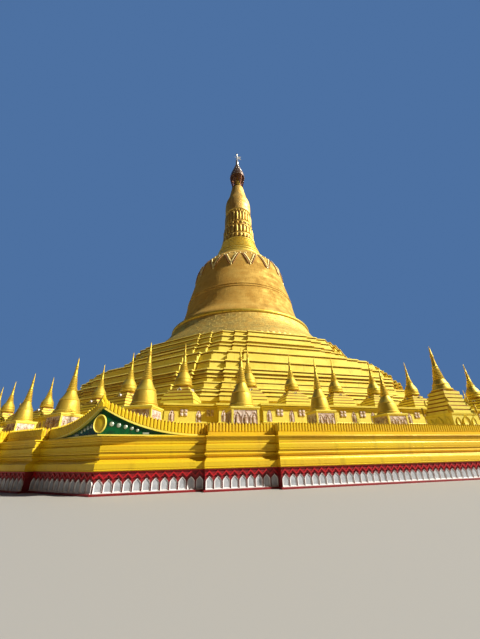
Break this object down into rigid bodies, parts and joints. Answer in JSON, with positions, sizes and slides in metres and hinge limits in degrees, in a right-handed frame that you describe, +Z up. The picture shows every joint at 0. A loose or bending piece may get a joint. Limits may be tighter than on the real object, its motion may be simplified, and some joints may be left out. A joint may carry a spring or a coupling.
{
  "type": "octagonal gilded stupa, 1:10 scale model",
  "caption": "Gilded stupa model: redented octagonal plinth with parapet and corner gables, ledges with small stupas, stepped terraces, bell, lotus bands, bud, umbrella and turning vane.",
  "frame": {"origin": "on the ground, under the centre of the octagonal plan", "axes": "+Z up; the south side, which faces -Y, is the picture's sunlit right-hand side; the pennant points along +X at rest"},
  "size_m": [12.252, 12.252, 11.66],
  "materials": {
    "red_kerb": "dark red painted kerb, matt",
    "niche_plaster": "white and grey painted plaster niches on dark red, matt",
    "wall_gold": "gold painted masonry, satin",
    "terrace_gold": "lemon gold painted masonry, satin",
    "gilded_metal": "gilded plates and gold leaf over masonry, satin",
    "green_panel": "dark green painted relief, semi-gloss",
    "red_bronze": "red-brown bronze with gilded pieces, satin",
    "silver": "silver-white plated metal, polished"
  },
  "bodies": {
    "stupa": {"banana_bud": "gilded_metal", "base_kerb": "red_kerb", "bell": "gilded_metal", "bell_rim": "gilded_metal", "corner_panel_east": "green_panel", "corner_panel_north": "green_panel", "corner_panel_north_east": "green_panel", "corner_panel_north_west": "green_panel", "corner_panel_south": "green_panel", "corner_panel_south_east": "green_panel", "corner_panel_south_west": "green_panel", "corner_panel_west": "green_panel", "drum": "gilded_metal", "finial_rod": "silver", "large_stupa": "gilded_metal", "lower_lotus_band": "gilded_metal", "lower_plinth_wall": "wall_gold", "lower_stupas_east": "gilded_metal", "lower_stupas_north": "gilded_metal", "lower_stupas_north_east": "gilded_metal", "lower_stupas_north_west": "gilded_metal", "lower_stupas_south": "gilded_metal", "lower_stupas_south_east": "gilded_metal", "lower_stupas_south_west": "gilded_metal", "lower_stupas_west": "gilded_metal", "niche_course": "niche_plaster", "parapet_east": "wall_gold", "parapet_north": "wall_gold", "parapet_north_east": "wall_gold", "parapet_north_west": "wall_gold", "parapet_south": "wall_gold", "parapet_south_east": "wall_gold", "parapet_south_west": "wall_gold", "parapet_west": "wall_gold", "ringed_neck": "gilded_metal", "second_wall": "wall_gold", "terrace_1": "terrace_gold", "terrace_2": "terrace_gold", "terrace_3": "terrace_gold", "terrace_4": "terrace_gold", "terrace_5": "terrace_gold", "umbrella_cap": "silver", "umbrella_frame": "red_bronze", "upper_lotus_band": "gilded_metal", "upper_plinth_wall": "wall_gold", "upper_stupas_east": "gilded_metal", "upper_stupas_north": "gilded_metal", "upper_stupas_north_east": "gilded_metal", "upper_stupas_north_west": "gilded_metal", "upper_stupas_south": "gilded_metal", "upper_stupas_south_east": "gilded_metal", "upper_stupas_south_west": "gilded_metal", "upper_stupas_west": "gilded_metal"},
    "vane": {"vane": "gilded_metal"}
  },
  "joints": [
    {"name": "vane_turn", "type": "hinge", "parent": "stupa", "child": "vane", "pos_m": [0, 0, 11.29], "axis": [0, 0, 1], "continuous": true}
  ]
}
